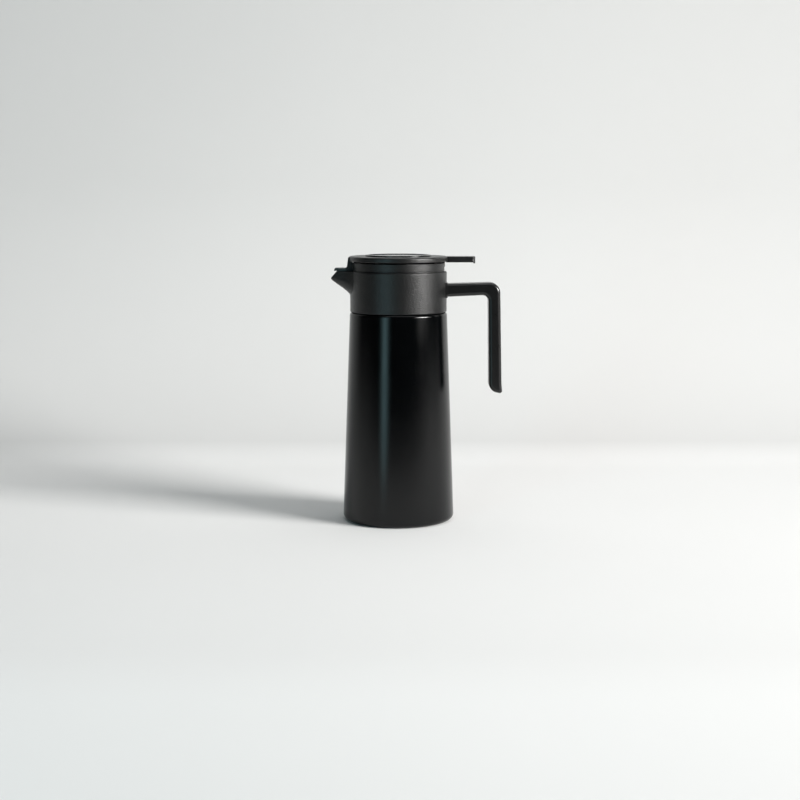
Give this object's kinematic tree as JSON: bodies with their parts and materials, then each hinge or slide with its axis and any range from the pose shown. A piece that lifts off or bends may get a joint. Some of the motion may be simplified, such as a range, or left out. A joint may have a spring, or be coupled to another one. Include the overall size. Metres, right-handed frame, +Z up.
{
  "type": "thermal carafe",
  "caption": "Tapered black vacuum carafe with a pouring beak, an open-ended side handle and a thumb-lever lid that tilts to pour and turns to lift out.",
  "frame": {"origin": "middle of the foot ring, on the table", "axes": "+Z up along the flask's axis, +X towards the handle, -X towards the beak"},
  "size_m": [0.1602, 0.1046, 0.2498],
  "materials": {
    "shell_coat": "satin black coat on steel",
    "bare_steel": "brushed",
    "foil": "bright",
    "seal_rubber": "matt silicone",
    "moulded_matte": "fine spark-eroded texture",
    "handle_satin": "satin",
    "plate_gloss": "semi-gloss"
  },
  "bodies": {
    "flask": {"outer_shell": "shell_coat", "base_plate": "bare_steel", "inner_flask": "bare_steel", "reflector_foil": "foil", "getter": "foil", "vacuum_plug": "bare_steel", "collar_gasket": "seal_rubber", "neck_seal": "seal_rubber", "neck_nut": "moulded_matte", "collar": "moulded_matte", "handle": "handle_satin", "handle_screws": "bare_steel"},
    "lid_seal": {"stopper_gasket": "seal_rubber"},
    "lid": {"lid_ring": "moulded_matte", "stopper": "moulded_matte", "hinge_pin": "bare_steel", "return_spring": "bare_steel"},
    "flap": {"flap": "moulded_matte", "top_plate": "plate_gloss", "valve_stem": "moulded_matte", "valve_seal": "seal_rubber", "stem_screw": "bare_steel"}
  },
  "joints": [
    {"name": "lid_lift", "type": "slide", "parent": "flask", "child": "lid_seal", "axis": [0, 0, 1], "range_m": [0, 0.06]},
    {"name": "lid_turn", "type": "hinge", "parent": "lid_seal", "child": "lid", "pos_m": [0, 0, 0.2347], "axis": [0, 0, 1], "range_deg": [0, 360]},
    {"name": "flap_tilt", "type": "hinge", "parent": "lid", "child": "flap", "pos_m": [0.0405, 0, 0.24], "axis": [0, 1, 0], "range_deg": [0, 25], "stiffness_Nm_per_rad": 0.08, "springref_deg": -34.38, "deforming": ["return_spring"]}
  ],
  "couplings": [
    {"joint": "lid_turn", "follows": "lid_lift", "rad_per_m": 104.7}
  ]
}
